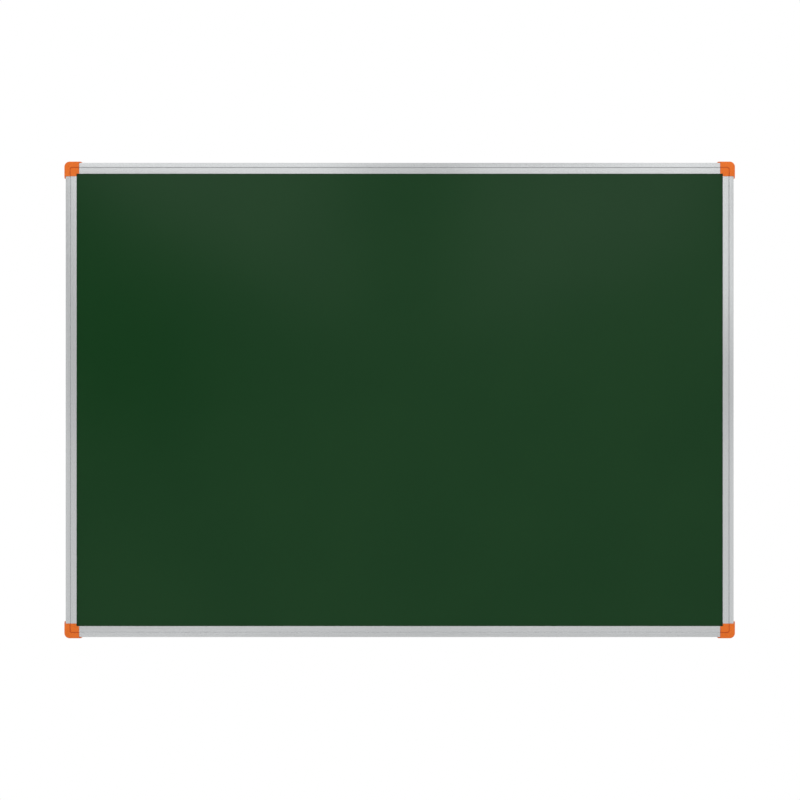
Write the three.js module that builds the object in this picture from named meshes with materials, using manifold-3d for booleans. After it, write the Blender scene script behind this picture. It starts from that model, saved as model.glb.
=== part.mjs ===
// A wall-hung green chalk writing board: a lacquered steel sheet on a fibreboard core,
// held by four anodised aluminium rails and four orange plastic corners.
// Millimetres. +X to the right, +Z up, and the writing side faces -Y.
// The origin is the middle of the wall plane, so the whole board lies at Y <= 0.

import * as THREE from 'three';
import { mergeVertices } from 'three/addons/utils/BufferGeometryUtils.js';
import Module from 'manifold-3d';

const wasm = await Module();
wasm.setup();

// The writing area that shows inside the frame
const VISIBLE_WIDTH = 1000;
const VISIBLE_HEIGHT = 700;

// Panel: lacquered sheet, fibreboard core and zinc-coated backing, laminated
const SHEET_THICKNESS = 0.5;
const CORE_THICKNESS = 9;
const BACKING_THICKNESS = 0.4;
const PANEL_CLEARANCE = 0.2;
const PANEL_EDGE_ROOM = 0.6;

// Rail extrusion, seen in section: across from its outer edge, and back from its front face
const RAIL_FACE_WIDTH = 17;
const FRONT_WALL = 1.6;
const OUTER_WALL = 1.4;
const CHAMBER_WIDTH = 6.6;
const MIDDLE_WALL = 1.2;
const REAR_WALL = 1.4;
const PANEL_REST_WALL = 1.2;
const RAIL_EDGE_RADIUS = 0.7;
const RAIL_CROWN_DROP = 0.35;
const LIP_EDGE_RADIUS = 0.5;
const RAIL_GROOVE_WIDTH = 1.4;
const RAIL_GROOVE_FLOOR = 0.3;
const RAIL_GROOVE_DEPTH = 0.8;
const RAIL_GROOVE_FROM_EDGE = 6.6;

// Hanger slot on the inner side of the rail's back, closed by a lip with a nib
const HANGER_SLOT_GAP = 3;
const SLOT_NIB_HEIGHT = 0.9;
const SLOT_NIB_WIDTH = 1.3;
const SLOT_LIP_SETBACK = 0.6;
const SLOT_HOOK_ROOM = 2.1;

// Corner pieces, moulded over the rail ends
const CORNER_PROUD = 1.9;
const CORNER_PAST_OPENING = 3.9;
const CORNER_RADIUS = 8.2;
const CORNER_RIM_RADIUS = 2;
const CORNER_FRONT_PROUD = 1.6;
const CORNER_BACK_PROUD = 1.5;
const CORNER_SLEEVE_GAP = 0.2;
const CORNER_GROOVE_TURN = 2.4;
const SIDE_TAB_LENGTH = 3;
const SIDE_TAB_FROM_FRONT = 3;
const CORNER_RECESS_WALL = 2.6;
const CORNER_RECESS_RIB = 1.6;
const CORNER_RECESS_DEPTH = 6;
const RAIL_END_SETBACK = 0.3;
const SPIGOT_LENGTH = 34;
const SPIGOT_GAP = 0.3;
const SPIGOT_END_TAPER = 1;
const SPIGOT_END_LENGTH = 4;

// Countersunk screws through the rails' backs into the spigots
const SCREW_FROM_RAIL_END = 17;
const SCREW_SHANK_DIAMETER = 2.9;
const SCREW_HEAD_DIAMETER = 5.4;
const SCREW_HEAD_RIM = 0.3;
const SCREW_LENGTH = 8.5;
const SCREW_POINT_LENGTH = 1.6;
const SCREW_HOLE_GAP = 0.3;
const SCREW_RECESS_WIDTH = 0.9;
const SCREW_RECESS_LENGTH = 2.8;
const SCREW_RECESS_DEPTH = 0.5;

// Keyhole hangers of bent steel plate
const HANGER_PLATE = 1.5;
const HANGER_WIDTH = 44;
const HANGER_DROP = 34;
const HANGER_CORNER_RADIUS = 6;
const HANGER_SIDE_GAP = 0.3;
const HANGER_BEND_ANGLE = Math.PI / 4;
const HANGER_BEND_RADIUS = 1;
const HANGER_FROM_RAIL_END = 149.7;
const KEYHOLE_DIAMETER = 10;
const KEYHOLE_SLOT_WIDTH = 5;
const KEYHOLE_SLOT_RISE = 8;
const KEYHOLE_FROM_END = 10.5;

// How far a cutting shape runs past the face that it cuts through
const CUT_OVERRUN = 1;

// How finely round shapes are divided
const ARC_STEPS = 5;
const CORNER_STEPS = 12;
const RIM_STEPS = 4;
const ROUND_STEPS = 24;

// Sizes that follow from the ones above
const PANEL_THICKNESS = SHEET_THICKNESS + CORE_THICKNESS + BACKING_THICKNESS;
const PANEL_CHANNEL = PANEL_THICKNESS + 2 * PANEL_CLEARANCE;
const REST_WALL_FRONT = FRONT_WALL + PANEL_CHANNEL;
const SLOT_FRONT = REST_WALL_FRONT + PANEL_REST_WALL;
const SLOT_BACK = SLOT_FRONT + HANGER_SLOT_GAP;
const RAIL_DEPTH = SLOT_BACK + REAR_WALL;
const CHAMBER_START = OUTER_WALL;
const CHAMBER_END = CHAMBER_START + CHAMBER_WIDTH;
const CHANNEL_START = CHAMBER_END + MIDDLE_WALL;
const SLOT_LIP_END = RAIL_FACE_WIDTH - SLOT_LIP_SETBACK;
const SLOT_NIB_START = SLOT_LIP_END - SLOT_NIB_WIDTH;
const SLOT_START = SLOT_NIB_START - SLOT_HOOK_ROOM;
const CORNER_LEG = RAIL_FACE_WIDTH + CORNER_PAST_OPENING;

// Places along Y: the wall plane is at zero and the front of the rails at RAIL_FRONT_Y
const RAIL_BACK_Y = -CORNER_BACK_PROUD;
const RAIL_FRONT_Y = RAIL_BACK_Y - RAIL_DEPTH;
const CORNER_FRONT_Y = RAIL_FRONT_Y - CORNER_FRONT_PROUD;

// Outlines in X and Z
const HALF_VISIBLE = new THREE.Vector2(VISIBLE_WIDTH / 2, VISIBLE_HEIGHT / 2);
const HALF_FRAME = HALF_VISIBLE.clone().addScalar(RAIL_FACE_WIDTH);
const HALF_PANEL = HALF_FRAME.clone().addScalar(-CHANNEL_START - PANEL_EDGE_ROOM);
const RAIL_END = RAIL_FACE_WIDTH + RAIL_END_SETBACK;
const SCREW_FROM_OUTER = CHAMBER_START + CHAMBER_WIDTH / 2;

const board = new THREE.Group();

// Materials
const lacquer = new THREE.MeshStandardMaterial({ color: 0x23402a, roughness: 0.62, metalness: 0 });
const fibreboard = new THREE.MeshStandardMaterial({ color: 0x9a7448, roughness: 0.9, metalness: 0 });
const zincSheet = new THREE.MeshStandardMaterial({ color: 0xa9adb0, roughness: 0.45, metalness: 1 });
const aluminium = new THREE.MeshStandardMaterial({ color: 0xc9cacd, roughness: 0.38, metalness: 1 });
const orangePlastic = new THREE.MeshStandardMaterial({ color: 0xe26a2a, roughness: 0.45, metalness: 0 });
const zincPlate = new THREE.MeshStandardMaterial({ color: 0xb8babb, roughness: 0.35, metalness: 1 });

// Solids

function solidOf(geometry) {
  const bare = geometry.index ? geometry.toNonIndexed() : geometry.clone();
  bare.deleteAttribute('normal');
  bare.deleteAttribute('uv');
  const merged = mergeVertices(bare, 1e-4);
  return new wasm.Manifold(new wasm.Mesh({
    numProp: 3,
    vertProperties: new Float32Array(merged.attributes.position.array),
    triVerts: new Uint32Array(merged.index.array),
  }));
}

function geometryOf(solid) {
  const mesh = solid.getMesh();
  const geometry = new THREE.BufferGeometry();
  geometry.setAttribute('position', new THREE.BufferAttribute(mesh.vertProperties, 3));
  geometry.setIndex(new THREE.BufferAttribute(mesh.triVerts, 1));
  return geometry;
}

function addPiece(name, geometry, material, parent = board) {
  const piece = new THREE.Mesh(geometry, material);
  piece.name = name;
  parent.add(piece);
  return piece;
}

// A box between two corners, given in any order
function boxBetween(x0, x1, y0, y1, z0, z1) {
  const size = [Math.abs(x1 - x0), Math.abs(y1 - y0), Math.abs(z1 - z0)];
  const geometry = new THREE.BoxGeometry(...size);
  return geometry.translate((x0 + x1) / 2, (y0 + y1) / 2, (z0 + z1) / 2);
}

// An outline in X and Z, pushed back along Y from frontY to backY
function plateFromOutline(shape, frontY, backY, curveSegments = ARC_STEPS) {
  const depth = backY - frontY;
  const geometry = new THREE.ExtrudeGeometry(shape, { depth, bevelEnabled: false, curveSegments });
  return geometry.rotateX(Math.PI / 2).translate(0, backY, 0);
}

// Panel

function addPanelLayers() {
  const layers = [
    ['writing_sheet', SHEET_THICKNESS, lacquer],
    ['core_board', CORE_THICKNESS, fibreboard],
    ['backing_sheet', BACKING_THICKNESS, zincSheet],
  ];
  let front = RAIL_FRONT_Y + FRONT_WALL + PANEL_CLEARANCE;
  for (const [name, thickness, material] of layers) {
    const back = front + thickness;
    const layer = boxBetween(-HALF_PANEL.x, HALF_PANEL.x, front, back, -HALF_PANEL.y, HALF_PANEL.y);
    addPiece(name, layer, material);
    front = back;
  }
}

// Rails

// The extrusion's outline, drawn with u across from the outer edge and v back from the front.
// The face is flat inside the groove and falls away a little outside it.
// The groove's outer side slopes and its inner side is square.
function railOutline() {
  const shape = new THREE.Shape();
  const grooveStart = RAIL_GROOVE_FROM_EDGE;
  const grooveEnd = grooveStart + RAIL_GROOVE_WIDTH;
  const shoulder = RAIL_CROWN_DROP + RAIL_EDGE_RADIUS;
  const lipEnd = RAIL_FACE_WIDTH;
  shape.moveTo(0, shoulder);
  shape.absarc(RAIL_EDGE_RADIUS, shoulder, RAIL_EDGE_RADIUS, Math.PI, 1.5 * Math.PI, false);
  shape.quadraticCurveTo((RAIL_EDGE_RADIUS + grooveStart) / 2, 0, grooveStart, 0);
  shape.lineTo(grooveEnd - RAIL_GROOVE_FLOOR, RAIL_GROOVE_DEPTH);
  shape.lineTo(grooveEnd, RAIL_GROOVE_DEPTH);
  shape.lineTo(grooveEnd, 0);
  shape.lineTo(lipEnd - LIP_EDGE_RADIUS, 0);
  shape.absarc(lipEnd - LIP_EDGE_RADIUS, LIP_EDGE_RADIUS, LIP_EDGE_RADIUS, 1.5 * Math.PI, 2 * Math.PI, false);
  shape.lineTo(lipEnd, FRONT_WALL);
  shape.lineTo(CHANNEL_START, FRONT_WALL);
  shape.lineTo(CHANNEL_START, REST_WALL_FRONT);
  shape.lineTo(lipEnd, REST_WALL_FRONT);
  shape.lineTo(lipEnd, SLOT_FRONT);
  shape.lineTo(SLOT_START, SLOT_FRONT);
  shape.lineTo(SLOT_START, SLOT_BACK);
  shape.lineTo(SLOT_NIB_START, SLOT_BACK);
  shape.lineTo(SLOT_NIB_START, SLOT_BACK - SLOT_NIB_HEIGHT);
  shape.lineTo(SLOT_LIP_END, SLOT_BACK - SLOT_NIB_HEIGHT);
  shape.lineTo(SLOT_LIP_END, RAIL_DEPTH);
  shape.lineTo(RAIL_EDGE_RADIUS, RAIL_DEPTH);
  shape.absarc(RAIL_EDGE_RADIUS, RAIL_DEPTH - RAIL_EDGE_RADIUS, RAIL_EDGE_RADIUS,
    0.5 * Math.PI, Math.PI, false);
  shape.lineTo(0, shoulder);

  const chamber = new THREE.Path();
  chamber.moveTo(CHAMBER_START, FRONT_WALL);
  chamber.lineTo(CHAMBER_START, SLOT_BACK);
  chamber.lineTo(SLOT_START - MIDDLE_WALL, SLOT_BACK);
  chamber.lineTo(SLOT_START - MIDDLE_WALL, SLOT_FRONT);
  chamber.lineTo(CHAMBER_END, SLOT_FRONT);
  chamber.lineTo(CHAMBER_END, FRONT_WALL);
  chamber.lineTo(CHAMBER_START, FRONT_WALL);
  shape.holes.push(chamber);
  return shape;
}

// The top rail at its own place: its length along X, its outer edge on top
function railAlongTop(halfLength, outerZ) {
  const settings = { depth: 2 * halfLength, bevelEnabled: false, curveSegments: ARC_STEPS };
  const geometry = new THREE.ExtrudeGeometry(railOutline(), settings);
  const toPlace = new THREE.Matrix4().makeBasis(
    new THREE.Vector3(0, 0, -1),
    new THREE.Vector3(0, 1, 0),
    new THREE.Vector3(1, 0, 0),
  );
  toPlace.setPosition(-halfLength, RAIL_FRONT_Y, outerZ);
  return geometry.applyMatrix4(toPlace);
}

// Where a rail's two corner screws stand, along the rail
function screwPlaces(halfLength) {
  return [-halfLength + SCREW_FROM_RAIL_END, halfLength - SCREW_FROM_RAIL_END];
}

// The countersunk hole of a corner screw, bored in from the back along Y
function screwHole(x, z) {
  const radius = SCREW_SHANK_DIAMETER / 2 + SCREW_HOLE_GAP;
  const mouth = SCREW_HEAD_DIAMETER / 2 + SCREW_HOLE_GAP;
  const profile = [
    new THREE.Vector2(0, -SCREW_LENGTH - SCREW_HOLE_GAP),
    new THREE.Vector2(radius, -SCREW_LENGTH - SCREW_HOLE_GAP),
    new THREE.Vector2(radius, -SCREW_HEAD_RIM - mouth + radius),
    new THREE.Vector2(mouth, -SCREW_HEAD_RIM),
    new THREE.Vector2(mouth, CORNER_BACK_PROUD),
    new THREE.Vector2(0, CORNER_BACK_PROUD),
  ];
  return new THREE.LatheGeometry(profile, ROUND_STEPS).translate(x, RAIL_BACK_Y, z);
}

const SIDES = [
  { name: 'top', turn: 0, halfLength: HALF_VISIBLE.x, outer: HALF_FRAME.y },
  { name: 'bottom', turn: Math.PI, halfLength: HALF_VISIBLE.x, outer: HALF_FRAME.y },
  { name: 'left', turn: -Math.PI / 2, halfLength: HALF_VISIBLE.y, outer: HALF_FRAME.x },
  { name: 'right', turn: Math.PI / 2, halfLength: HALF_VISIBLE.y, outer: HALF_FRAME.x },
];

function addRails() {
  for (const side of SIDES) {
    const halfLength = side.halfLength - RAIL_END_SETBACK;
    let solid = solidOf(railAlongTop(halfLength, side.outer));
    for (const x of screwPlaces(halfLength)) {
      solid = solid.subtract(solidOf(screwHole(x, side.outer - SCREW_FROM_OUTER)));
    }
    const rail = addPiece(`rail_${side.name}`, geometryOf(solid), aluminium);
    rail.rotation.y = side.turn;
  }
}

// Corners: each is drawn at its own origin, the outer corner of the rails, with both legs
// running inwards along +X and +Z, and then turned into its place

// A square outline whose outer corner, towards -X and -Z, is round
function roundedSquare(from, to, radius) {
  const shape = new THREE.Shape();
  shape.moveTo(from + radius, from);
  shape.lineTo(to, from);
  shape.lineTo(to, to);
  shape.lineTo(from, to);
  shape.lineTo(from, from + radius);
  shape.absarc(from + radius, from + radius, radius, Math.PI, 1.5 * Math.PI, false);
  return shape;
}

// The corner's front view: a square with the corner of the writing area cut out of it
function cornerOutline(from) {
  const shape = new THREE.Shape();
  shape.moveTo(from, from);
  shape.lineTo(CORNER_LEG, from);
  shape.lineTo(CORNER_LEG, RAIL_FACE_WIDTH);
  shape.lineTo(RAIL_FACE_WIDTH, RAIL_FACE_WIDTH);
  shape.lineTo(RAIL_FACE_WIDTH, CORNER_LEG);
  shape.lineTo(from, CORNER_LEG);
  shape.lineTo(from, from);
  return shape;
}

// The rails' groove as it runs round the corner
function cornerGroove() {
  const near = RAIL_GROOVE_FROM_EDGE;
  const far = near + RAIL_GROOVE_WIDTH;
  const end = CORNER_LEG + CUT_OVERRUN;
  const outerTurn = CORNER_GROOVE_TURN + RAIL_GROOVE_WIDTH;
  const shape = new THREE.Shape();
  shape.moveTo(near + outerTurn, near);
  shape.lineTo(end, near);
  shape.lineTo(end, far);
  shape.lineTo(far + CORNER_GROOVE_TURN, far);
  shape.absarc(far + CORNER_GROOVE_TURN, far + CORNER_GROOVE_TURN, CORNER_GROOVE_TURN,
    1.5 * Math.PI, Math.PI, true);
  shape.lineTo(far, end);
  shape.lineTo(near, end);
  shape.lineTo(near, near + outerTurn);
  shape.absarc(near + outerTurn, near + outerTurn, outerTurn, Math.PI, 1.5 * Math.PI, false);
  return plateFromOutline(shape, CORNER_FRONT_Y - CUT_OVERRUN, CORNER_FRONT_Y + RAIL_GROOVE_DEPTH);
}

// The shell's outside, with the front edges rounded over
function cornerShell() {
  const reach = CORNER_LEG + 2 * CORNER_RIM_RADIUS;
  const backPast = 2 * CORNER_RIM_RADIUS;
  const geometry = new THREE.ExtrudeGeometry(roundedSquare(-CORNER_PROUD, reach, CORNER_RADIUS), {
    depth: -CORNER_FRONT_Y - CORNER_RIM_RADIUS + backPast,
    bevelEnabled: true,
    bevelThickness: CORNER_RIM_RADIUS,
    bevelSize: CORNER_RIM_RADIUS,
    bevelOffset: -CORNER_RIM_RADIUS,
    bevelSegments: RIM_STEPS,
    curveSegments: CORNER_STEPS,
  });
  const rounded = geometry.rotateX(Math.PI / 2).translate(0, backPast, 0);
  const outline = plateFromOutline(cornerOutline(-CORNER_PROUD - CUT_OVERRUN),
    CORNER_FRONT_Y - CUT_OVERRUN, 0);
  return solidOf(rounded).intersect(solidOf(outline));
}

// The same box on both legs: along is the distance from the outer corner, across the width
function onBothLegs(along0, along1, across0, across1, y0, y1) {
  return [
    solidOf(boxBetween(along0, along1, y0, y1, across0, across1)),
    solidOf(boxBetween(across0, across1, y0, y1, along0, along1)),
  ];
}

// The tongue that fills a rail's chamber, along +X with its middle line at Z = 0
function spigot() {
  const half = CHAMBER_WIDTH / 2 - SPIGOT_GAP;
  const front = RAIL_FRONT_Y + FRONT_WALL + SPIGOT_GAP;
  const back = RAIL_BACK_Y - REAR_WALL - SPIGOT_GAP;
  const root = RAIL_FACE_WIDTH - CORNER_RECESS_WALL;
  const tip = RAIL_END + SPIGOT_LENGTH;
  const shape = new THREE.Shape();
  shape.moveTo(root, -half);
  shape.lineTo(tip - SPIGOT_END_LENGTH, -half);
  shape.lineTo(tip, -half + SPIGOT_END_TAPER);
  shape.lineTo(tip, half - SPIGOT_END_TAPER);
  shape.lineTo(tip - SPIGOT_END_LENGTH, half);
  shape.lineTo(root, half);
  shape.lineTo(root, -half);
  return plateFromOutline(shape, front, back);
}

// Pockets moulded in from the back, with a cross of ribs between them
function backPockets() {
  const start = CORNER_RECESS_WALL - CORNER_PROUD;
  const end = RAIL_FACE_WIDTH - CORNER_RECESS_WALL;
  const middle = (start + end) / 2;
  const outer = [start, middle - CORNER_RECESS_RIB / 2];
  const inner = [middle + CORNER_RECESS_RIB / 2, end];
  // No pocket is nearest the outer corner, where the wall is round
  const spans = [[outer, inner], [inner, outer], [inner, inner]];
  return spans.map(([[x0, x1], [z0, z1]]) => (
    solidOf(boxBetween(x0, x1, -CORNER_RECESS_DEPTH, CUT_OVERRUN, z0, z1))
  ));
}

function cornerSolid() {
  const gap = CORNER_SLEEVE_GAP;
  const railEnd = RAIL_END - gap;
  const tabFront = CORNER_FRONT_Y + SIDE_TAB_FROM_FRONT;
  let solid = cornerShell();
  const tabEnd = CORNER_LEG + SIDE_TAB_LENGTH;
  const tabs = onBothLegs(RAIL_FACE_WIDTH, tabEnd, -CORNER_PROUD, -gap, tabFront, 0);
  for (const tab of tabs) {
    solid = solid.add(tab);
  }
  const pastLeg = CORNER_LEG + CUT_OVERRUN;
  const sleeves = onBothLegs(railEnd, tabEnd + CUT_OVERRUN, -gap, pastLeg,
    RAIL_FRONT_Y - gap, RAIL_BACK_Y + gap);
  for (const sleeve of sleeves) {
    solid = solid.subtract(sleeve);
  }
  const panelRoom = boxBetween(CHANNEL_START, pastLeg, RAIL_FRONT_Y + FRONT_WALL,
    RAIL_FRONT_Y + REST_WALL_FRONT, CHANNEL_START, pastLeg);
  solid = solid.subtract(solidOf(panelRoom));
  for (const pocket of backPockets()) {
    solid = solid.subtract(pocket);
  }
  solid = solid.add(solidOf(spigot().translate(0, 0, SCREW_FROM_OUTER)));
  solid = solid.add(solidOf(spigot().rotateY(-Math.PI / 2).translate(SCREW_FROM_OUTER, 0, 0)));
  const screwAlong = RAIL_END + SCREW_FROM_RAIL_END;
  solid = solid.subtract(solidOf(screwHole(screwAlong, SCREW_FROM_OUTER)));
  solid = solid.subtract(solidOf(screwHole(SCREW_FROM_OUTER, screwAlong)));
  return solid.subtract(solidOf(cornerGroove()));
}

const CORNERS = [
  { name: 'top_left', turn: Math.PI / 2, x: -HALF_FRAME.x, z: HALF_FRAME.y },
  { name: 'top_right', turn: Math.PI, x: HALF_FRAME.x, z: HALF_FRAME.y },
  { name: 'bottom_right', turn: -Math.PI / 2, x: HALF_FRAME.x, z: -HALF_FRAME.y },
  { name: 'bottom_left', turn: 0, x: -HALF_FRAME.x, z: -HALF_FRAME.y },
];

function addCorners() {
  const geometry = geometryOf(cornerSolid());
  for (const { name, turn, x, z } of CORNERS) {
    const corner = addPiece(`corner_${name}`, geometry, orangePlastic);
    corner.position.set(x, 0, z);
    corner.rotation.y = turn;
  }
}

// Corner screws

function screwGeometry() {
  const shank = SCREW_SHANK_DIAMETER / 2;
  const head = SCREW_HEAD_DIAMETER / 2;
  const profile = [
    new THREE.Vector2(0, -SCREW_LENGTH),
    new THREE.Vector2(shank, -SCREW_LENGTH + SCREW_POINT_LENGTH),
    new THREE.Vector2(shank, -SCREW_HEAD_RIM - head + shank),
    new THREE.Vector2(head, -SCREW_HEAD_RIM),
    new THREE.Vector2(head, 0),
    new THREE.Vector2(0, 0),
  ];
  let solid = solidOf(new THREE.LatheGeometry(profile, ROUND_STEPS));
  const half = SCREW_RECESS_LENGTH / 2;
  const arm = SCREW_RECESS_WIDTH / 2;
  const floor = -SCREW_RECESS_DEPTH;
  solid = solid.subtract(solidOf(boxBetween(-half, half, floor, CUT_OVERRUN, -arm, arm)));
  solid = solid.subtract(solidOf(boxBetween(-arm, arm, floor, CUT_OVERRUN, -half, half)));
  return geometryOf(solid);
}

function addScrews() {
  const geometry = screwGeometry();
  for (const side of SIDES) {
    const holder = new THREE.Group();
    holder.rotation.y = side.turn;
    board.add(holder);
    const z = side.outer - SCREW_FROM_OUTER;
    screwPlaces(side.halfLength - RAIL_END_SETBACK).forEach((x, index) => {
      const screw = addPiece(`corner_screw_${side.name}_${index + 1}`, geometry, zincPlate, holder);
      screw.position.set(x, RAIL_BACK_Y, z);
    });
  }
}

// Hangers

// The bent plate seen from its end: down from the rail's outer edge, and back from its front.
// A hook fills the slot behind the nib, and two bends bring the plate back to the wall.
function hangerSection() {
  const top = SLOT_START + HANGER_SIDE_GAP;
  const hookEnd = SLOT_NIB_START - HANGER_SIDE_GAP;
  const tongueFront = SLOT_FRONT + HANGER_SIDE_GAP;
  const tongueBack = tongueFront + HANGER_PLATE;
  const hookBack = SLOT_BACK - HANGER_SIDE_GAP;
  const wall = RAIL_DEPTH + CORNER_BACK_PROUD;
  const plateFront = wall - HANGER_PLATE;
  const inside = HANGER_BEND_RADIUS;
  const outside = HANGER_BEND_RADIUS + HANGER_PLATE;
  // The slope between the bends makes up the distance back that the bends leave
  const bendBack = (inside + outside) * (1 - Math.cos(HANGER_BEND_ANGLE));
  const slope = (plateFront - tongueFront - bendBack) / Math.sin(HANGER_BEND_ANGLE);
  const run = (inside + outside) * Math.sin(HANGER_BEND_ANGLE) + slope * Math.cos(HANGER_BEND_ANGLE);
  const firstBend = RAIL_FACE_WIDTH + HANGER_SIDE_GAP;
  const secondBend = firstBend + run;
  const end = RAIL_FACE_WIDTH + HANGER_DROP;
  const down = -Math.PI / 2;
  const up = Math.PI / 2;
  const shape = new THREE.Shape();
  shape.moveTo(top, tongueFront);
  shape.lineTo(firstBend, tongueFront);
  shape.absarc(firstBend, tongueBack + inside, outside, down, down + HANGER_BEND_ANGLE, false);
  shape.absarc(secondBend, plateFront - inside, inside, up + HANGER_BEND_ANGLE, up, true);
  shape.lineTo(end, plateFront);
  shape.lineTo(end, wall);
  shape.lineTo(secondBend, wall);
  shape.absarc(secondBend, plateFront - inside, outside, up, up + HANGER_BEND_ANGLE, false);
  shape.absarc(firstBend, tongueBack + inside, inside, down + HANGER_BEND_ANGLE, down, true);
  shape.lineTo(hookEnd, tongueBack);
  shape.lineTo(hookEnd, hookBack);
  shape.lineTo(top, hookBack);
  shape.lineTo(top, tongueFront);
  return shape;
}

// The hanger's front view round x = 0, with its keyhole cut out
function hangerFace() {
  const half = HANGER_WIDTH / 2;
  const top = HALF_FRAME.y;
  const bottom = HALF_VISIBLE.y - HANGER_DROP;
  const radius = HANGER_CORNER_RADIUS;
  const shape = new THREE.Shape();
  shape.moveTo(-half, top);
  shape.lineTo(-half, bottom + radius);
  shape.absarc(-half + radius, bottom + radius, radius, Math.PI, 1.5 * Math.PI, false);
  shape.absarc(half - radius, bottom + radius, radius, 1.5 * Math.PI, 2 * Math.PI, false);
  shape.lineTo(half, top);
  shape.lineTo(-half, top);

  const hole = new THREE.Path();
  const centre = bottom + KEYHOLE_FROM_END;
  const narrow = KEYHOLE_SLOT_WIDTH / 2;
  const wide = KEYHOLE_DIAMETER / 2;
  const meet = Math.asin(narrow / wide);
  hole.moveTo(narrow, centre + wide * Math.cos(meet));
  hole.absarc(0, centre, wide, Math.PI / 2 - meet, Math.PI / 2 + meet, true);
  hole.lineTo(-narrow, centre + KEYHOLE_SLOT_RISE);
  hole.absarc(0, centre + KEYHOLE_SLOT_RISE, narrow, Math.PI, 0, true);
  shape.holes.push(hole);
  return shape;
}

function hangerSolid() {
  const settings = { depth: HANGER_WIDTH, bevelEnabled: false, curveSegments: ARC_STEPS };
  const bent = new THREE.ExtrudeGeometry(hangerSection(), settings);
  const toPlace = new THREE.Matrix4().makeBasis(
    new THREE.Vector3(0, 0, -1),
    new THREE.Vector3(0, 1, 0),
    new THREE.Vector3(1, 0, 0),
  );
  toPlace.setPosition(-HANGER_WIDTH / 2, RAIL_FRONT_Y, HALF_FRAME.y);
  const face = plateFromOutline(hangerFace(), RAIL_FRONT_Y, CUT_OVERRUN, CORNER_STEPS);
  return solidOf(bent.applyMatrix4(toPlace)).intersect(solidOf(face));
}

function addHangers() {
  const geometry = geometryOf(hangerSolid());
  const fromCentre = HALF_VISIBLE.x - RAIL_END_SETBACK - HANGER_FROM_RAIL_END;
  for (const [name, way] of [['left', -1], ['right', 1]]) {
    const hanger = addPiece(`hanger_${name}`, geometry, zincPlate);
    hanger.position.x = way * fromCentre;
  }
}

addPanelLayers();
addRails();
addCorners();
addScrews();
addHangers();

export default board;
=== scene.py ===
"""A studio picture of a wall-hung green chalk board.

A lacquered steel writing sheet on a fibreboard core sits in four anodised aluminium rails.
Orange ABS corners hold the rails together, and two keyhole hangers slide in the top rail's back.
The board faces -Y, +Z is up, and everything is in metres.
"""

import math

import bmesh
import bpy
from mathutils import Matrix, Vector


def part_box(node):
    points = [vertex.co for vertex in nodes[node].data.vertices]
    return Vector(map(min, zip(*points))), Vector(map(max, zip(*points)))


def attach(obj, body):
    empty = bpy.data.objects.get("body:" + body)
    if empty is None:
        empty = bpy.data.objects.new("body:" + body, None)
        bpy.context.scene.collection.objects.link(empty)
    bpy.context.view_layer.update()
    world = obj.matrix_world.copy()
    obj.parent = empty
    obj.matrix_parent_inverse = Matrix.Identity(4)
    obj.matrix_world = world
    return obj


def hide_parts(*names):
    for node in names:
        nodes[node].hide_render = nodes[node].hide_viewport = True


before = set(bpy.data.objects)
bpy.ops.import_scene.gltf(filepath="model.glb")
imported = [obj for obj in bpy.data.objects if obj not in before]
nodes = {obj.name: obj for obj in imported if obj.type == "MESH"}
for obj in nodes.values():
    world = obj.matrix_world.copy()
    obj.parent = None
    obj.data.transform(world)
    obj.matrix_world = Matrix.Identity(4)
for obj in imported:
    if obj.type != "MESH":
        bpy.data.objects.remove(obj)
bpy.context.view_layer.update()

MM = 0.001

# The photograph: its width, the scale at the rails' front, and where the board's middle lies
PHOTO_PIXELS = 800
PIXELS_PER_MM = 0.64625
BOARD_MIDDLE_PIXEL = (399.66, 399.93)
LENS_MM = 85
SENSOR_MM = 36
CAMERA_DISTANCE = PHOTO_PIXELS / PIXELS_PER_MM * MM * LENS_MM / SENSOR_MM

# A glow that comes out white, and the light that the board gets from all round
WHITE_GLOW = 1.0
WORLD_GLOW = 1.08

# The cards that the board mirrors. Each is given by the pixels where its corners show in the board,
# and by its distance from the wall that the board hangs on
PANEL_DISTANCE = 1.8
WALL_DISTANCE = 3.6

# Two soft panels, with their glow at the board's middle and its rise for each metre sideways
SOFT_PANELS = {
    "soft_panel_left": [(352, 328), (104, 195), (36, 162), (36, -130), (240, 20), (352, 20)],
    "soft_panel_right": [(463, 342), (690, 246), (716, 196), (740, 165), (740, 20), (463, 20)],
}
PANEL_GLOW = 1.15
PANEL_RISE = 0.54

# A dark flag over the picture and a pale reflector low on the left, each with its distance and glow
PLAIN_CARDS = {
    "dark_flag": ([(425, 15), (470, -360), (590, -360), (670, 15)], WALL_DISTANCE, 0.25),
    "low_reflector": ([(20, 700), (290, 700), (170, 800), (20, 800)], PANEL_DISTANCE, 1.45),
}

# The dim wall behind the camera, with its glow and the rise of that for each metre along X, Y and Z
DIM_WALL = [(-353, 1095), (1095, 1095), (1095, 38), (-353, 38)]
WALL_GLOW = 0.75
WALL_RISE = (0.022, 0.0, -0.045)

# Soft spots on the wall: the pixel where the board mirrors each, its reach sideways and up in metres,
# and its change of glow
WALL_SPOTS = [
    ((108, 354), (0.64, 0.46), -0.66),
    ((-100, 165), (1.3, 0.62), -0.63),
    ((-5, 365), (0.34, 0.2), 0.5),
    ((900, 130), (0.85, 0.7), -0.63),
    ((786, 285), (0.32, 0.24), 1.1),
    ((930, 392), (0.8, 0.27), -0.6),
]

# The floor, and the shares of its half width and half depth where its fade begins and ends
FLOOR_HALF_WIDTH, FLOOR_FRONT, FLOOR_BACK, FLOOR_HEIGHT = 2.6, -3.6, 1.1, -1.0
FLOOR_FADE = (0.62, 0.97)

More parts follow.
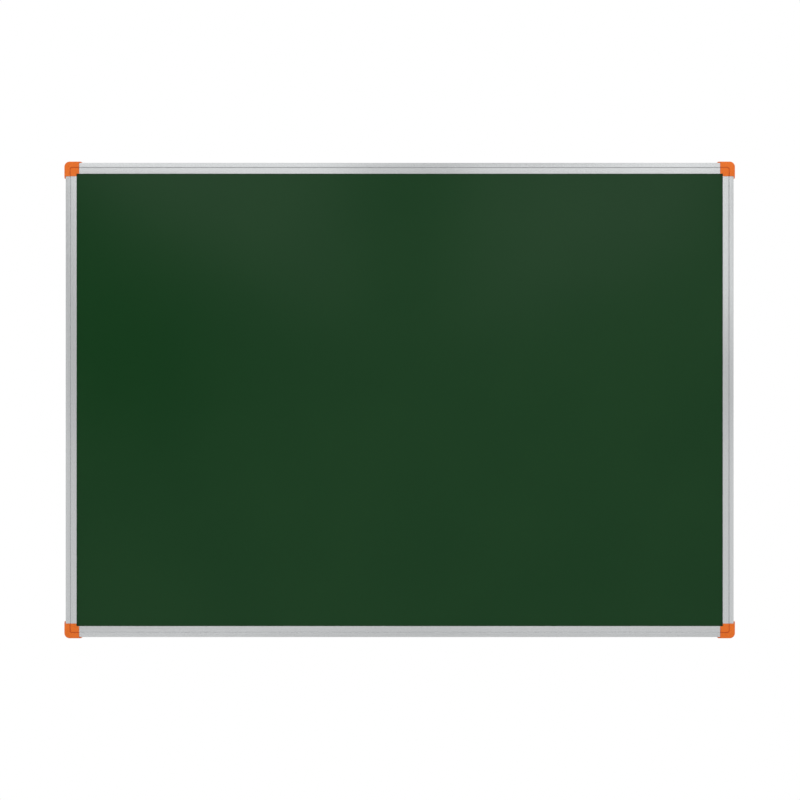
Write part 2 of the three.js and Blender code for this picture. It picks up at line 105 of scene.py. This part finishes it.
# How a CAD shape is finished: points this close are one, faces this nearly in one plane are one, and
# an edge that turns by more than EDGE_FROM is broken in this many steps
WELD_WITHIN = 0.001 * MM
FLAT_WITHIN = math.radians(0.5)
EDGE_FROM = math.radians(28)
EDGE_STEPS = 2

# How wide each kind of piece has its edges broken
RAIL_EDGE_BREAK = 0.12 * MM
CORNER_EDGE_BREAK = 0.25 * MM
PLATE_EDGE_BREAK = 0.2 * MM
SCREW_EDGE_BREAK = 0.12 * MM

# The groove, whose faces take a painted shade: how far in from the board's outer edge it begins, how deep
# behind a piece's front its faces lie, and how much they look forward at least
BOARD_HALF_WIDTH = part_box("rail_right")[1].x
BOARD_HALF_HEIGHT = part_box("rail_top")[1].z
GROOVE_FROM_EDGE = 6.6 * MM
GROOVE_DEPTHS = (0.3 * MM, 1.0 * MM)
GROOVE_LOOKS_FORWARD = 0.5

# Each rail: the axis that its die lines run along, and the light and dark tone of its groove: a painted
# shade in the groove, deeper or lighter from rail to rail with how the light falls, and a touch paler on the
# bottom rail
RAILS = {
    "rail_top": ("x", "#C6C8C9", "#BEC0C1"),
    "rail_bottom": ("x", "#DADCDD", "#D2D4D5"),
    "rail_left": ("z", "#C6C8C9", "#BEC0C1"),
    "rail_right": ("z", "#C0C2C3", "#B8BABB"),
}

# Where a Mix node keeps its factor, its two colours and, among its outputs, their blend
MIX_FACTOR, MIX_FIRST, MIX_SECOND, MIX_RESULT = 0, 6, 7, 2


# Colour and nodes

def linear(hex_text):
    """An sRGB colour such as "#23402A", as the linear numbers that a shader takes."""
    channels = [int(hex_text[i:i + 2], 16) / 255 for i in (1, 3, 5)]
    return tuple(c / 12.92 if c <= 0.04045 else ((c + 0.055) / 1.055) ** 2.4 for c in channels) + (1.0,)


def per_metre(millimetres):
    """A texture's scale for features of this size."""
    return 1 / (millimetres * MM)


def add_node(tree, kind, inputs=None, **settings):
    """Adds a node. settings are its own properties; an input takes a value or another node's socket."""
    node = tree.nodes.new(kind)
    for name, value in settings.items():
        setattr(node, name, value)
    for key, value in (inputs or {}).items():
        if isinstance(value, bpy.types.NodeSocket):
            tree.links.new(value, node.inputs[key])
        else:
            node.inputs[key].default_value = value
    return node


def new_material(name):
    """A material whose nodes are all still to come."""
    material = bpy.data.materials.new(name)
    material.use_nodes = True
    material.node_tree.nodes.clear()
    return material


def share_out(tree, place, middle, reach):
    """How far out a point lies: 0 in the middle, and 1 all along the oval with this reach."""
    offset = add_node(tree, "ShaderNodeVectorMath", {0: place, 1: middle}, operation="SUBTRACT")
    share = add_node(tree, "ShaderNodeVectorMath", {
        0: offset.outputs["Vector"], 1: reach}, operation="DIVIDE")
    length = add_node(tree, "ShaderNodeVectorMath", {0: share.outputs["Vector"]}, operation="LENGTH")
    return length.outputs["Value"]


# Materials

def make_green_lacquer():
    """Matt chalk lacquer, rolled on sheet steel: dark green, with a faint sheen and a grit for the chalk."""
    material = new_material("green_chalk_lacquer")
    tree = material.node_tree
    place = add_node(tree, "ShaderNodeTexCoord").outputs["Object"]
    cloud = add_node(tree, "ShaderNodeTexNoise", {"Vector": place, "Scale": per_metre(220)})
    grit = add_node(tree, "ShaderNodeTexNoise", {
        "Vector": place, "Scale": per_metre(0.45), "Detail": 3.0, "Roughness": 0.6})
    tone = add_node(tree, "ShaderNodeMapRange", {
        "Value": cloud.outputs["Fac"], "From Min": 0.35, "From Max": 0.65})
    colour = add_node(tree, "ShaderNodeMix", {
        MIX_FACTOR: tone.outputs["Result"],
        MIX_FIRST: linear("#033610"),
        MIX_SECOND: linear("#073812")}, data_type="RGBA")
    roughness = add_node(tree, "ShaderNodeMapRange", {
        "Value": grit.outputs["Fac"], "From Min": 0.3, "From Max": 0.7, "To Min": 0.18, "To Max": 0.23})
    bump = add_node(tree, "ShaderNodeBump", {
        "Height": grit.outputs["Fac"], "Distance": 0.004 * MM, "Strength": 0.5})
    shader = add_node(tree, "ShaderNodeBsdfPrincipled", {
        "Base Color": colour.outputs[MIX_RESULT],
        "Roughness": roughness.outputs["Result"],
        "Normal": bump.outputs["Normal"],
        "Specular IOR Level": 0.2})
    add_node(tree, "ShaderNodeOutputMaterial", {"Surface": shader.outputs["BSDF"]})
    return material


def make_anodised_aluminium(name, axis, light_tone, dark_tone):
    """Satin anodised extrusion: a pale grey metal whose fine die lines spread a highlight across them."""
    # The lines lean a hair off their axis, so that the cut ends too have a direction across them
    hair = 0.01
    line_length, line_width = per_metre(260), per_metre(0.5)
    if axis == "x":
        stretch = (line_length, line_width, line_width)
        line = (1.0, hair, hair)
    else:
        stretch = (line_width, line_width, line_length)
        line = (hair, hair, 1.0)
    material = new_material(name)
    tree = material.node_tree
    place = add_node(tree, "ShaderNodeTexCoord").outputs["Object"]
    surface = add_node(tree, "ShaderNodeNewGeometry")
    across = add_node(tree, "ShaderNodeVectorMath", {
        0: surface.outputs["Normal"], 1: line}, operation="CROSS_PRODUCT")
    lines_place = add_node(tree, "ShaderNodeMapping", {"Vector": place, "Scale": stretch})
    lines = add_node(tree, "ShaderNodeTexNoise", {
        "Vector": lines_place.outputs["Vector"], "Scale": 1.0, "Detail": 3.0, "Roughness": 0.6})
    matt = add_node(tree, "ShaderNodeTexNoise", {"Vector": place, "Scale": per_metre(0.3)})
    tone = add_node(tree, "ShaderNodeMapRange", {
        "Value": lines.outputs["Fac"], "From Min": 0.3, "From Max": 0.7})
    colour = add_node(tree, "ShaderNodeMix", {
        MIX_FACTOR: tone.outputs["Result"],
        MIX_FIRST: linear(dark_tone),
        MIX_SECOND: linear(light_tone)}, data_type="RGBA")
    roughness = add_node(tree, "ShaderNodeMapRange", {
        "Value": matt.outputs["Fac"], "From Min": 0.3, "From Max": 0.7, "To Min": 0.258, "To Max": 0.272})
    bump = add_node(tree, "ShaderNodeBump", {
        "Height": lines.outputs["Fac"], "Distance": 0.004 * MM, "Strength": 0.5})
    shader = add_node(tree, "ShaderNodeBsdfPrincipled", {
        "Base Color": colour.outputs[MIX_RESULT],
        "Roughness": roughness.outputs["Result"],
        "Normal": bump.outputs["Normal"],
        "Tangent": across.outputs["Vector"],
        "Metallic": 1.0,
        "Anisotropic": 1.0})
    add_node(tree, "ShaderNodeOutputMaterial", {"Surface": shader.outputs["BSDF"]})
    return material


def make_orange_abs(name, light_tone, dark_tone):
    """Injection-moulded ABS: a full orange with a soft sheen and the mould's fine spark-eroded grain."""
    material = new_material(name)
    tree = material.node_tree
    place = add_node(tree, "ShaderNodeTexCoord").outputs["Object"]
    grain = add_node(tree, "ShaderNodeTexNoise", {"Vector": place, "Scale": per_metre(0.35)})
    flow = add_node(tree, "ShaderNodeTexNoise", {"Vector": place, "Scale": per_metre(14)})
    tone = add_node(tree, "ShaderNodeMapRange", {
        "Value": flow.outputs["Fac"], "From Min": 0.35, "From Max": 0.65})
    colour = add_node(tree, "ShaderNodeMix", {
        MIX_FACTOR: tone.outputs["Result"],
        MIX_FIRST: linear(dark_tone),
        MIX_SECOND: linear(light_tone)}, data_type="RGBA")
    roughness = add_node(tree, "ShaderNodeMapRange", {
        "Value": grain.outputs["Fac"], "From Min": 0.3, "From Max": 0.7, "To Min": 0.40, "To Max": 0.50})
    bump = add_node(tree, "ShaderNodeBump", {
        "Height": grain.outputs["Fac"], "Distance": 0.012 * MM, "Strength": 0.5})
    shader = add_node(tree, "ShaderNodeBsdfPrincipled", {
        "Base Color": colour.outputs[MIX_RESULT],
        "Roughness": roughness.outputs["Result"],
        "Normal": bump.outputs["Normal"],
        "IOR": 1.54,
        "Specular IOR Level": 0.3})
    add_node(tree, "ShaderNodeOutputMaterial", {"Surface": shader.outputs["BSDF"]})
    return material


def make_zinc_sheet():
    """Hot-dip zinc on sheet steel: dull grey metal with small, faint frost-like spangles."""
    material = new_material("galvanised_sheet")
    tree = material.node_tree
    place = add_node(tree, "ShaderNodeTexCoord").outputs["Object"]
    spangle = add_node(tree, "ShaderNodeTexVoronoi", {"Vector": place, "Scale": per_metre(6)})
    facets = add_node(tree, "ShaderNodeTexNoise", {
        "Vector": place, "Scale": per_metre(3), "Detail": 3.0, "Roughness": 0.6})
    cell = add_node(tree, "ShaderNodeSeparateColor", {"Color": spangle.outputs["Color"]})
    colour = add_node(tree, "ShaderNodeMix", {
        MIX_FACTOR: cell.outputs["Red"],
        MIX_FIRST: linear("#A9ADB0"),
        MIX_SECOND: linear("#B0B4B6")}, data_type="RGBA")
    base = add_node(tree, "ShaderNodeMapRange", {
        "Value": cell.outputs["Green"], "To Min": 0.44, "To Max": 0.50})
    fine = add_node(tree, "ShaderNodeMapRange", {
        "Value": facets.outputs["Fac"], "From Min": 0.3, "From Max": 0.7, "To Min": -0.04, "To Max": 0.04})
    roughness = add_node(tree, "ShaderNodeMath", {
        0: base.outputs["Result"], 1: fine.outputs["Result"]}, operation="ADD")
    bump = add_node(tree, "ShaderNodeBump", {
        "Height": facets.outputs["Fac"], "Distance": 0.01 * MM, "Strength": 0.4})
    shader = add_node(tree, "ShaderNodeBsdfPrincipled", {
        "Base Color": colour.outputs[MIX_RESULT],
        "Roughness": roughness.outputs["Value"],
        "Normal": bump.outputs["Normal"],
        "Metallic": 1.0})
    add_node(tree, "ShaderNodeOutputMaterial", {"Surface": shader.outputs["BSDF"]})
    return material


def make_fibreboard():
    """Pressed wood fibre: a brown board with short fibres matted flat."""
    material = new_material("pressed_fibreboard")
    tree = material.node_tree
    place = add_node(tree, "ShaderNodeTexCoord").outputs["Object"]
    fibre_place = add_node(tree, "ShaderNodeMapping", {
        "Vector": place, "Scale": (per_metre(3), per_metre(0.4), per_metre(0.8))})
    fibres = add_node(tree, "ShaderNodeTexNoise", {
        "Vector": fibre_place.outputs["Vector"], "Scale": 1.0, "Detail": 5.0, "Roughness": 0.65})
    tone = add_node(tree, "ShaderNodeMapRange", {
        "Value": fibres.outputs["Fac"], "From Min": 0.3, "From Max": 0.7})
    colour = add_node(tree, "ShaderNodeMix", {
        MIX_FACTOR: tone.outputs["Result"],
        MIX_FIRST: linear("#86633C"),
        MIX_SECOND: linear("#A98255")}, data_type="RGBA")
    bump = add_node(tree, "ShaderNodeBump", {
        "Height": fibres.outputs["Fac"], "Distance": 0.08 * MM, "Strength": 0.6})
    shader = add_node(tree, "ShaderNodeBsdfPrincipled", {
        "Base Color": colour.outputs[MIX_RESULT],
        "Normal": bump.outputs["Normal"],
        "Roughness": 0.85})
    add_node(tree, "ShaderNodeOutputMaterial", {"Surface": shader.outputs["BSDF"]})
    return material


def make_zinc_plating():
    """Bright zinc on pressed steel: a cool, slightly blue metal with faint rolling marks along the strip."""
    material = new_material("zinc_plated_steel_bright")
    tree = material.node_tree
    place = add_node(tree, "ShaderNodeTexCoord").outputs["Object"]
    marks_place = add_node(tree, "ShaderNodeMapping", {
        "Vector": place, "Scale": (per_metre(15), per_metre(0.6), per_metre(0.6))})
    marks = add_node(tree, "ShaderNodeTexNoise", {
        "Vector": marks_place.outputs["Vector"], "Scale": 1.0, "Detail": 3.0, "Roughness": 0.6})
    tone = add_node(tree, "ShaderNodeMapRange", {
        "Value": marks.outputs["Fac"], "From Min": 0.3, "From Max": 0.7})
    colour = add_node(tree, "ShaderNodeMix", {
        MIX_FACTOR: tone.outputs["Result"],
        MIX_FIRST: linear("#B6BABD"),
        MIX_SECOND: linear("#C3C6C7")}, data_type="RGBA")
    roughness = add_node(tree, "ShaderNodeMapRange", {
        "Value": marks.outputs["Fac"], "From Min": 0.3, "From Max": 0.7, "To Min": 0.24, "To Max": 0.31})
    bump = add_node(tree, "ShaderNodeBump", {
        "Height": marks.outputs["Fac"], "Distance": 0.004 * MM, "Strength": 0.4})
    shader = add_node(tree, "ShaderNodeBsdfPrincipled", {
        "Base Color": colour.outputs[MIX_RESULT],
        "Roughness": roughness.outputs["Result"],
        "Normal": bump.outputs["Normal"],
        "Metallic": 1.0})
    add_node(tree, "ShaderNodeOutputMaterial", {"Surface": shader.outputs["BSDF"]})
    return material


def make_pale_floor():
    """Plain matt studio floor: pale grey. For the eye it fades into the white before its edges, and
    from below it is clear."""
    material = new_material("pale_floor")
    tree = material.node_tree
    place = add_node(tree, "ShaderNodeTexCoord").outputs["Object"]
    middle, half_depth = (FLOOR_FRONT + FLOOR_BACK) / 2, (FLOOR_BACK - FLOOR_FRONT) / 2
    out = share_out(tree, place, (0, middle, FLOOR_HEIGHT), (FLOOR_HALF_WIDTH, half_depth, 1))
    fade = add_node(tree, "ShaderNodeMapRange", {
        "Value": out, "From Min": FLOOR_FADE[0], "From Max": FLOOR_FADE[1]}, interpolation_type="SMOOTHSTEP")
    rays = add_node(tree, "ShaderNodeLightPath")
    seen_fade = add_node(tree, "ShaderNodeMath", {
        0: fade.outputs["Result"], 1: rays.outputs["Is Camera Ray"]}, operation="MULTIPLY")
    matt = add_node(tree, "ShaderNodeBsdfPrincipled", {"Base Color": linear("#DEDEDE"), "Roughness": 0.9})
    white = add_node(tree, "ShaderNodeEmission", {"Color": linear("#FFFFFF"), "Strength": WHITE_GLOW})
    faded = add_node(tree, "ShaderNodeMixShader", {
        0: seen_fade.outputs["Value"], 1: matt.outputs["BSDF"], 2: white.outputs["Emission"]})
    surface = add_node(tree, "ShaderNodeNewGeometry")
    clear = add_node(tree, "ShaderNodeBsdfTransparent")
    one_sided = add_node(tree, "ShaderNodeMixShader", {
        0: surface.outputs["Backfacing"], 1: faded.outputs["Shader"], 2: clear.outputs["BSDF"]})
    add_node(tree, "ShaderNodeOutputMaterial", {"Surface": one_sided.outputs["Shader"]})
    return material


# Pieces

def in_groove(face, front):
    """Whether a face looks forward out of the groove, where the shade is painted: just behind the front, and
    inside the outer edge.
    """
    centre = face.calc_center_median()
    depth = centre.y - front
    inward = min(BOARD_HALF_WIDTH - abs(centre.x), BOARD_HALF_HEIGHT - abs(centre.z))
    looks_forward = -face.normal.y > GROOVE_LOOKS_FORWARD
    return looks_forward and GROOVE_DEPTHS[0] < depth < GROOVE_DEPTHS[1] and inward > GROOVE_FROM_EDGE


def finish_piece(node, body, material, edge_break, groove_shade_material=None):
    """Adds a piece in a CAD node's own shape, with its faces joined, curves smooth and edges broken."""
    source = nodes[node].data
    mesh = bpy.data.meshes.new(f"{node}_finish")
    mesh.from_pydata([v.co[:] for v in source.vertices], [], [p.vertices[:] for p in source.polygons])
    shape = bmesh.new()
    shape.from_mesh(mesh)
    bmesh.ops.remove_doubles(shape, verts=shape.verts[:], dist=WELD_WITHIN)
    bmesh.ops.dissolve_limit(shape, angle_limit=FLAT_WITHIN, verts=shape.verts[:], edges=shape.edges[:])
    bmesh.ops.recalc_face_normals(shape, faces=shape.faces[:])
    front = min(v.co.y for v in shape.verts)
    for face in shape.faces:
        face.smooth = True
        # A face in the groove takes the second material, whose darker tone is painted shade
        if groove_shade_material and in_groove(face, front):
            face.material_index = 1
    for edge in shape.edges:
        edge.smooth = edge.calc_face_angle(0) < EDGE_FROM
    shape.to_mesh(mesh)
    shape.free()
    mesh.materials.append(material)
    if groove_shade_material:
        mesh.materials.append(groove_shade_material)
    piece = bpy.data.objects.new(f"{node}_finish", mesh)
    bpy.context.scene.collection.objects.link(piece)
    bevel = piece.modifiers.new("edge_break", "BEVEL")
    bevel.width = edge_break
    bevel.segments = EDGE_STEPS
    bevel.limit_method = "ANGLE"
    bevel.angle_limit = EDGE_FROM
    bevel.use_clamp_overlap = True
    bevel.harden_normals = True
    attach(piece, body)
    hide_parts(node)


def set_material(node, material):
    """Dresses a CAD node that keeps its own shape."""
    for material_slot in nodes[node].material_slots:
        material_slot.material = material


def dress_board():
    """Gives every piece its finish, and lets it ride on the body that carries it."""
    set_material("writing_sheet", make_green_lacquer())
    set_material("core_board", make_fibreboard())
    set_material("backing_sheet", make_zinc_sheet())
    orange = make_orange_abs("orange_moulded_abs", "#EB7118", "#E66C0F")
    # A darker copy of the orange, painted shade in the corners' groove
    groove_shade_orange = make_orange_abs("orange_moulded_abs_groove_shade", "#D05E0C", "#C85809")
    plating = make_zinc_plating()
    for rail, (axis, shaded_groove_light, shaded_groove_dark) in RAILS.items():
        metal = make_anodised_aluminium(f"anodised_aluminium_{rail}", axis, "#D8DADB", "#CFD1D2")
        # A copy of the rail's metal in its groove's tones, darker as painted shade in the groove
        groove_shade_metal = make_anodised_aluminium(
            f"anodised_aluminium_{rail}_groove", axis, shaded_groove_light, shaded_groove_dark)
        finish_piece(rail, "frame", metal, RAIL_EDGE_BREAK, groove_shade_metal)
    for name in nodes:
        if name.startswith("corner_screw"):
            finish_piece(name, "frame", plating, SCREW_EDGE_BREAK)
        elif name.startswith("corner"):
            finish_piece(name, "frame", orange, CORNER_EDGE_BREAK, groove_shade_orange)
        elif name.startswith("hanger"):
            finish_piece(name, name, plating, PLATE_EDGE_BREAK)


# Camera, light and floor

def add_camera():
    """Square on to the board, so far off that the rails' front comes out at the photograph's scale."""
    rail_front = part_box("rail_top")[0].y
    data = bpy.data.cameras.new("camera")
    data.lens = LENS_MM
    data.sensor_width = SENSOR_MM
    camera = bpy.data.objects.new("camera", data)
    right = (PHOTO_PIXELS / 2 - BOARD_MIDDLE_PIXEL[0]) / PIXELS_PER_MM * MM
    down = (PHOTO_PIXELS / 2 - BOARD_MIDDLE_PIXEL[1]) / PIXELS_PER_MM * MM
    camera.location = (right, rail_front - CAMERA_DISTANCE, -down)
    camera.rotation_euler = (math.pi / 2, 0, 0)
    bpy.context.scene.collection.objects.link(camera)
    bpy.context.scene.camera = camera


def add_world():
    """Even soft light, and white behind the board for the eye and in reflections."""
    world = bpy.data.worlds.new("studio")
    bpy.context.scene.world = world
    world.use_nodes = True
    tree = world.node_tree
    tree.nodes.clear()
    rays = add_node(tree, "ShaderNodeLightPath")
    in_reflection = add_node(tree, "ShaderNodeMath", {
        0: rays.outputs["Is Glossy Ray"], 1: rays.outputs["Is Transmission Ray"]}, operation="MAXIMUM")
    seen = add_node(tree, "ShaderNodeMath", {
        0: rays.outputs["Is Camera Ray"], 1: in_reflection.outputs["Value"]}, operation="MAXIMUM")
    light = add_node(tree, "ShaderNodeBackground", {"Color": linear("#FFFFFF"), "Strength": WORLD_GLOW})
    white = add_node(tree, "ShaderNodeBackground", {"Color": linear("#FFFFFF"), "Strength": WHITE_GLOW})
    mixed = add_node(tree, "ShaderNodeMixShader", {
        0: seen.outputs["Value"], 1: light.outputs["Background"], 2: white.outputs["Background"]})
    add_node(tree, "ShaderNodeOutputWorld", {"Surface": mixed.outputs["Shader"]})


def mirrored(pixel, distance):
    """Where a card at this distance has to be for the camera to see it mirrored at this pixel."""
    reach = (CAMERA_DISTANCE + distance) / CAMERA_DISTANCE
    return ((pixel[0] - BOARD_MIDDLE_PIXEL[0]) / PIXELS_PER_MM * MM * reach,
            (BOARD_MIDDLE_PIXEL[1] - pixel[1]) / PIXELS_PER_MM * MM * reach)


def add_card(name, material, strength, pixels, distance):
    """A flat glowing card that faces the board. The board mirrors it, and the camera looks through it."""
    tree = material.node_tree
    glow = add_node(tree, "ShaderNodeEmission", {"Strength": strength})
    add_node(tree, "ShaderNodeOutputMaterial", {"Surface": glow.outputs["Emission"]})
    outline = [mirrored(pixel, distance) for pixel in pixels]
    mesh = bpy.data.meshes.new(name)
    mesh.from_pydata([(x, -distance, z) for x, z in outline], [], [tuple(range(len(outline)))])
    mesh.materials.append(material)
    card = bpy.data.objects.new(name, mesh)
    card.visible_camera = False
    bpy.context.scene.collection.objects.link(card)


def add_lights():
    """Soft panels, a flag and a reflector round the camera, and behind it a dim wall with soft spots."""
    for name, pixels in SOFT_PANELS.items():
        material = new_material(name)
        tree = material.node_tree
        place = add_node(tree, "ShaderNodeTexCoord").outputs["Object"]
        along = add_node(tree, "ShaderNodeSeparateXYZ", {"Vector": place})
        outward = add_node(tree, "ShaderNodeMath", {0: along.outputs["X"]}, operation="ABSOLUTE")
        strength = add_node(tree, "ShaderNodeMath", {
            0: outward.outputs["Value"], 1: PANEL_RISE, 2: PANEL_GLOW}, operation="MULTIPLY_ADD")
        add_card(name, material, strength.outputs["Value"], pixels, PANEL_DISTANCE)

    for name, (pixels, distance, strength) in PLAIN_CARDS.items():
        add_card(name, new_material(name), strength, pixels, distance)

    material = new_material("dim_wall")
    tree = material.node_tree
    place = add_node(tree, "ShaderNodeTexCoord").outputs["Object"]
    rise = add_node(tree, "ShaderNodeVectorMath", {0: place, 1: WALL_RISE}, operation="DOT_PRODUCT")
    strength = add_node(tree, "ShaderNodeMath", {0: rise.outputs["Value"], 1: WALL_GLOW}, operation="ADD")
    for pixel, (reach_sideways, reach_up), change in WALL_SPOTS:
        x, z = mirrored(pixel, WALL_DISTANCE)
        out = share_out(tree, place, (x, -WALL_DISTANCE, z), (reach_sideways, 1, reach_up))
        spot = add_node(tree, "ShaderNodeMapRange", {
            "Value": out, "To Min": change, "To Max": 0.0}, interpolation_type="SMOOTHSTEP")
        strength = add_node(tree, "ShaderNodeMath", {
            0: strength.outputs["Value"], 1: spot.outputs["Result"]}, operation="ADD")
    add_card("dim_wall", material, strength.outputs["Value"], DIM_WALL, WALL_DISTANCE)


def add_floor():
    """A floor under the picture, all of it below the board."""
    mesh = bpy.data.meshes.new("floor")
    left, right = -FLOOR_HALF_WIDTH, FLOOR_HALF_WIDTH
    corners = [(left, FLOOR_FRONT), (right, FLOOR_FRONT), (right, FLOOR_BACK), (left, FLOOR_BACK)]
    mesh.from_pydata([(x, y, FLOOR_HEIGHT) for x, y in corners], [], [(0, 1, 2, 3)])
    mesh.materials.append(make_pale_floor())
    floor = bpy.data.objects.new("floor", mesh)
    bpy.context.scene.collection.objects.link(floor)


add_camera()
dress_board()
add_world()
add_lights()
add_floor()
bpy.context.scene.view_settings.view_transform = "Standard"
